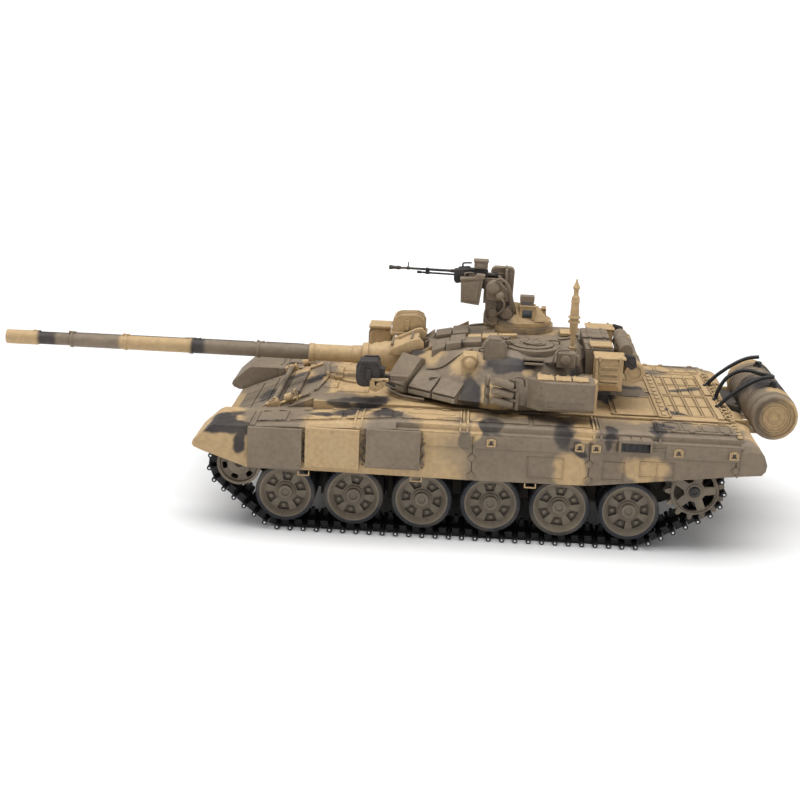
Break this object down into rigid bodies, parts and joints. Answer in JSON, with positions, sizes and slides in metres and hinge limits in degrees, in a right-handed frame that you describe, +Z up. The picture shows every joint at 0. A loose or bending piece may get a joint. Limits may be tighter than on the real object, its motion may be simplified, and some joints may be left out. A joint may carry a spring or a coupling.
{
  "type": "remote control tank",
  "caption": "Remote control model battle tank with turning turret, elevating gun, sprung road wheels, side skirts, rear fuel drums and opening hatches.",
  "frame": {"origin": "middle of the whole tank's box, on the ground under the tracks", "axes": "+X towards the front, where the gun points; +Y to the tank's left; +Z up"},
  "size_m": [0.6509, 0.2386, 0.1976],
  "materials": {
    "camo_plastic": "matt sprayed camouflage in sand, grey brown and dark violet",
    "hull_plastic": "matt grey brown",
    "wheel_plastic": "matt grey brown rims with dark rubber tyres",
    "track_plastic": "black, semi matt",
    "pin_steel": "bare",
    "gun_black": "black, semi matt",
    "hose_rubber": "satin",
    "gear_metal": "cast",
    "motor_metal": "satin",
    "battery_wrap": "shrink wrap",
    "board_green": "solder mask"
  },
  "bodies": {
    "root": {"lower_hull": "hull_plastic", "upper_hull": "camo_plastic", "side_skirts": "camo_plastic", "skirt_armor": "camo_plastic", "glacis_armor": "camo_plastic", "fuel_drums": "camo_plastic", "fuel_hoses": "hose_rubber", "hull_fittings": "camo_plastic", "drive_gearboxes": "gear_metal", "drive_motors": "motor_metal", "battery_pack": "battery_wrap", "control_board": "board_green", "track_left": "track_plastic", "track_right": "track_plastic", "track_pins": "pin_steel"},
    "switch": {"power_switch": "gun_black"},
    "turret": {"turret_shell": "camo_plastic", "turret_armor": "camo_plastic", "turret_bins": "camo_plastic", "turret_fittings": "camo_plastic"},
    "gun": {"gun_barrel": "camo_plastic", "gun_mantlet": "camo_plastic"},
    "cupola": {"cupola": "camo_plastic"},
    "commander_hatch": {"commander_hatch": "camo_plastic"},
    "gunner_hatch": {"gunner_hatch": "camo_plastic"},
    "machine_gun": {"machine_gun": "gun_black"},
    "sprocket_left": {"sprocket_left": "hull_plastic"},
    "idler_left": {"idler_left": "hull_plastic"},
    "roller_l1": {"roller_l1": "hull_plastic"},
    "roller_l2": {"roller_l2": "hull_plastic"},
    "roller_l3": {"roller_l3": "hull_plastic"},
    "arm_l1": {"arm_l1": "hull_plastic"},
    "wheel_l1": {"wheel_l1": "wheel_plastic"},
    "arm_l2": {"arm_l2": "hull_plastic"},
    "wheel_l2": {"wheel_l2": "wheel_plastic"},
    "arm_l3": {"arm_l3": "hull_plastic"},
    "wheel_l3": {"wheel_l3": "wheel_plastic"},
    "arm_l4": {"arm_l4": "hull_plastic"},
    "wheel_l4": {"wheel_l4": "wheel_plastic"},
    "arm_l5": {"arm_l5": "hull_plastic"},
    "wheel_l5": {"wheel_l5": "wheel_plastic"},
    "arm_l6": {"arm_l6": "hull_plastic"},
    "wheel_l6": {"wheel_l6": "wheel_plastic"},
    "sprocket_right": {"sprocket_right": "hull_plastic"},
    "idler_right": {"idler_right": "hull_plastic"},
    "roller_r1": {"roller_r1": "hull_plastic"},
    "roller_r2": {"roller_r2": "hull_plastic"},
    "roller_r3": {"roller_r3": "hull_plastic"},
    "arm_r1": {"arm_r1": "hull_plastic"},
    "wheel_r1": {"wheel_r1": "wheel_plastic"},
    "arm_r2": {"arm_r2": "hull_plastic"},
    "wheel_r2": {"wheel_r2": "wheel_plastic"},
    "arm_r3": {"arm_r3": "hull_plastic"},
    "wheel_r3": {"wheel_r3": "wheel_plastic"},
    "arm_r4": {"arm_r4": "hull_plastic"},
    "wheel_r4": {"wheel_r4": "wheel_plastic"},
    "arm_r5": {"arm_r5": "hull_plastic"},
    "wheel_r5": {"wheel_r5": "wheel_plastic"},
    "arm_r6": {"arm_r6": "hull_plastic"},
    "wheel_r6": {"wheel_r6": "wheel_plastic"}
  },
  "joints": [
    {"name": "turret_traverse", "type": "hinge", "parent": "root", "child": "turret", "pos_m": [-0.08655, 0, 0.098], "axis": [0, 0, 1], "range_deg": [-160, 160]},
    {"name": "gun_elevation", "type": "hinge", "parent": "turret", "child": "gun", "pos_m": [-0.01055, 0, 0.1176], "axis": [0, -1, 0], "range_deg": [-5, 14]},
    {"name": "cupola_turn", "type": "hinge", "parent": "turret", "child": "cupola", "pos_m": [-0.10655, -0.033, 0.145], "axis": [0, 0, 1], "range_deg": [-60, 60]},
    {"name": "commander_lid", "type": "hinge", "parent": "cupola", "child": "commander_hatch", "pos_m": [-0.12515, -0.033, 0.1571], "axis": [0, -1, 0], "range_deg": [0, 100]},
    {"name": "gunner_lid", "type": "hinge", "parent": "turret", "child": "gunner_hatch", "pos_m": [-0.09515, 0.034, 0.143], "axis": [0, 1, 0], "range_deg": [0, 100]},
    {"name": "machine_gun_elevation", "type": "hinge", "parent": "cupola", "child": "machine_gun", "pos_m": [-0.07855, -0.025, 0.179], "axis": [0, -1, 0], "range_deg": [-5, 60]},
    {"name": "power_switch_slide", "type": "slide", "parent": "root", "child": "switch", "axis": [1, 0, 0], "range_m": [0, 0.004]},
    {"name": "sprocket_spin_left", "type": "hinge", "parent": "root", "child": "sprocket_left", "pos_m": [-0.24255, 0.0872, 0.049], "axis": [0, 1, 0], "continuous": true, "deforming": ["track_left", "track_pins"]},
    {"name": "idler_spin_left", "type": "hinge", "parent": "root", "child": "idler_left", "pos_m": [0.11025, 0.0872, 0.0511], "axis": [0, 1, 0], "continuous": true},
    {"name": "roller_l1_spin", "type": "hinge", "parent": "root", "child": "roller_l1", "pos_m": [0.03545, 0.077, 0.06139], "axis": [0, 1, 0], "continuous": true},
    {"name": "roller_l2_spin", "type": "hinge", "parent": "root", "child": "roller_l2", "pos_m": [-0.06005, 0.077, 0.06062], "axis": [0, 1, 0], "continuous": true},
    {"name": "roller_l3_spin", "type": "hinge", "parent": "root", "child": "roller_l3", "pos_m": [-0.16455, 0.077, 0.05978], "axis": [0, 1, 0], "continuous": true},
    {"name": "arm_l1_swing", "type": "hinge", "parent": "root", "child": "arm_l1", "pos_m": [0.08645, 0.067, 0.039], "axis": [0, 1, 0], "range_deg": [0, 14], "stiffness_Nm_per_rad": 0.25, "springref_deg": -8.02},
    {"name": "wheel_l1_spin", "type": "hinge", "parent": "arm_l1", "child": "wheel_l1", "pos_m": [0.07345, 0.088, 0.03], "axis": [0, 1, 0], "continuous": true},
    {"name": "arm_l2_swing", "type": "hinge", "parent": "root", "child": "arm_l2", "pos_m": [0.03305, 0.067, 0.039], "axis": [0, 1, 0], "range_deg": [0, 14], "stiffness_Nm_per_rad": 0.25, "springref_deg": -8.02},
    {"name": "wheel_l2_spin", "type": "hinge", "parent": "arm_l2", "child": "wheel_l2", "pos_m": [0.02005, 0.088, 0.03], "axis": [0, 1, 0], "continuous": true},
    {"name": "arm_l3_swing", "type": "hinge", "parent": "root", "child": "arm_l3", "pos_m": [-0.02035, 0.067, 0.039], "axis": [0, 1, 0], "range_deg": [0, 14], "stiffness_Nm_per_rad": 0.25, "springref_deg": -8.02},
    {"name": "wheel_l3_spin", "type": "hinge", "parent": "arm_l3", "child": "wheel_l3", "pos_m": [-0.03335, 0.088, 0.03], "axis": [0, 1, 0], "continuous": true},
    {"name": "arm_l4_swing", "type": "hinge", "parent": "root", "child": "arm_l4", "pos_m": [-0.07375, 0.067, 0.039], "axis": [0, 1, 0], "range_deg": [0, 14], "stiffness_Nm_per_rad": 0.25, "springref_deg": -8.02},
    {"name": "wheel_l4_spin", "type": "hinge", "parent": "arm_l4", "child": "wheel_l4", "pos_m": [-0.08675, 0.088, 0.03], "axis": [0, 1, 0], "continuous": true},
    {"name": "arm_l5_swing", "type": "hinge", "parent": "root", "child": "arm_l5", "pos_m": [-0.12715, 0.067, 0.039], "axis": [0, 1, 0], "range_deg": [0, 14], "stiffness_Nm_per_rad": 0.25, "springref_deg": -8.02},
    {"name": "wheel_l5_spin", "type": "hinge", "parent": "arm_l5", "child": "wheel_l5", "pos_m": [-0.14015, 0.088, 0.03], "axis": [0, 1, 0], "continuous": true},
    {"name": "arm_l6_swing", "type": "hinge", "parent": "root", "child": "arm_l6", "pos_m": [-0.18055, 0.067, 0.039], "axis": [0, 1, 0], "range_deg": [0, 14], "stiffness_Nm_per_rad": 0.25, "springref_deg": -8.02},
    {"name": "wheel_l6_spin", "type": "hinge", "parent": "arm_l6", "child": "wheel_l6", "pos_m": [-0.19355, 0.088, 0.03], "axis": [0, 1, 0], "continuous": true},
    {"name": "sprocket_spin_right", "type": "hinge", "parent": "root", "child": "sprocket_right", "pos_m": [-0.24255, -0.0872, 0.049], "axis": [0, 1, 0], "continuous": true, "deforming": ["track_right", "track_pins"]},
    {"name": "idler_spin_right", "type": "hinge", "parent": "root", "child": "idler_right", "pos_m": [0.11025, -0.0872, 0.0511], "axis": [0, 1, 0], "continuous": true},
    {"name": "roller_r1_spin", "type": "hinge", "parent": "root", "child": "roller_r1", "pos_m": [0.03545, -0.077, 0.06139], "axis": [0, 1, 0], "continuous": true},
    {"name": "roller_r2_spin", "type": "hinge", "parent": "root", "child": "roller_r2", "pos_m": [-0.06005, -0.077, 0.06062], "axis": [0, 1, 0], "continuous": true},
    {"name": "roller_r3_spin", "type": "hinge", "parent": "root", "child": "roller_r3", "pos_m": [-0.16455, -0.077, 0.05978], "axis": [0, 1, 0], "continuous": true},
    {"name": "arm_r1_swing", "type": "hinge", "parent": "root", "child": "arm_r1", "pos_m": [0.08645, -0.067, 0.039], "axis": [0, 1, 0], "range_deg": [0, 14], "stiffness_Nm_per_rad": 0.25, "springref_deg": -8.02},
    {"name": "wheel_r1_spin", "type": "hinge", "parent": "arm_r1", "child": "wheel_r1", "pos_m": [0.07345, -0.088, 0.03], "axis": [0, 1, 0], "continuous": true},
    {"name": "arm_r2_swing", "type": "hinge", "parent": "root", "child": "arm_r2", "pos_m": [0.03305, -0.067, 0.039], "axis": [0, 1, 0], "range_deg": [0, 14], "stiffness_Nm_per_rad": 0.25, "springref_deg": -8.02},
    {"name": "wheel_r2_spin", "type": "hinge", "parent": "arm_r2", "child": "wheel_r2", "pos_m": [0.02005, -0.088, 0.03], "axis": [0, 1, 0], "continuous": true},
    {"name": "arm_r3_swing", "type": "hinge", "parent": "root", "child": "arm_r3", "pos_m": [-0.02035, -0.067, 0.039], "axis": [0, 1, 0], "range_deg": [0, 14], "stiffness_Nm_per_rad": 0.25, "springref_deg": -8.02},
    {"name": "wheel_r3_spin", "type": "hinge", "parent": "arm_r3", "child": "wheel_r3", "pos_m": [-0.03335, -0.088, 0.03], "axis": [0, 1, 0], "continuous": true},
    {"name": "arm_r4_swing", "type": "hinge", "parent": "root", "child": "arm_r4", "pos_m": [-0.07375, -0.067, 0.039], "axis": [0, 1, 0], "range_deg": [0, 14], "stiffness_Nm_per_rad": 0.25, "springref_deg": -8.02},
    {"name": "wheel_r4_spin", "type": "hinge", "parent": "arm_r4", "child": "wheel_r4", "pos_m": [-0.08675, -0.088, 0.03], "axis": [0, 1, 0], "continuous": true},
    {"name": "arm_r5_swing", "type": "hinge", "parent": "root", "child": "arm_r5", "pos_m": [-0.12715, -0.067, 0.039], "axis": [0, 1, 0], "range_deg": [0, 14], "stiffness_Nm_per_rad": 0.25, "springref_deg": -8.02},
    {"name": "wheel_r5_spin", "type": "hinge", "parent": "arm_r5", "child": "wheel_r5", "pos_m": [-0.14015, -0.088, 0.03], "axis": [0, 1, 0], "continuous": true},
    {"name": "arm_r6_swing", "type": "hinge", "parent": "root", "child": "arm_r6", "pos_m": [-0.18055, -0.067, 0.039], "axis": [0, 1, 0], "range_deg": [0, 14], "stiffness_Nm_per_rad": 0.25, "springref_deg": -8.02},
    {"name": "wheel_r6_spin", "type": "hinge", "parent": "arm_r6", "child": "wheel_r6", "pos_m": [-0.19355, -0.088, 0.03], "axis": [0, 1, 0], "continuous": true}
  ],
  "couplings": [
    {"joint": "idler_spin_left", "follows": "sprocket_spin_left", "ratio": 0.9569},
    {"joint": "roller_l1_spin", "follows": "sprocket_spin_left", "ratio": 3.0621},
    {"joint": "roller_l2_spin", "follows": "sprocket_spin_left", "ratio": 3.0621},
    {"joint": "roller_l3_spin", "follows": "sprocket_spin_left", "ratio": 3.0621},
    {"joint": "wheel_l1_spin", "follows": "sprocket_spin_left", "ratio": 0.916},
    {"joint": "wheel_l2_spin", "follows": "sprocket_spin_left", "ratio": 0.916},
    {"joint": "wheel_l3_spin", "follows": "sprocket_spin_left", "ratio": 0.916},
    {"joint": "wheel_l4_spin", "follows": "sprocket_spin_left", "ratio": 0.916},
    {"joint": "wheel_l5_spin", "follows": "sprocket_spin_left", "ratio": 0.916},
    {"joint": "wheel_l6_spin", "follows": "sprocket_spin_left", "ratio": 0.916},
    {"joint": "idler_spin_right", "follows": "sprocket_spin_right", "ratio": 0.9569},
    {"joint": "roller_r1_spin", "follows": "sprocket_spin_right", "ratio": 3.0621},
    {"joint": "roller_r2_spin", "follows": "sprocket_spin_right", "ratio": 3.0621},
    {"joint": "roller_r3_spin", "follows": "sprocket_spin_right", "ratio": 3.0621},
    {"joint": "wheel_r1_spin", "follows": "sprocket_spin_right", "ratio": 0.916},
    {"joint": "wheel_r2_spin", "follows": "sprocket_spin_right", "ratio": 0.916},
    {"joint": "wheel_r3_spin", "follows": "sprocket_spin_right", "ratio": 0.916},
    {"joint": "wheel_r4_spin", "follows": "sprocket_spin_right", "ratio": 0.916},
    {"joint": "wheel_r5_spin", "follows": "sprocket_spin_right", "ratio": 0.916},
    {"joint": "wheel_r6_spin", "follows": "sprocket_spin_right", "ratio": 0.916}
  ]
}
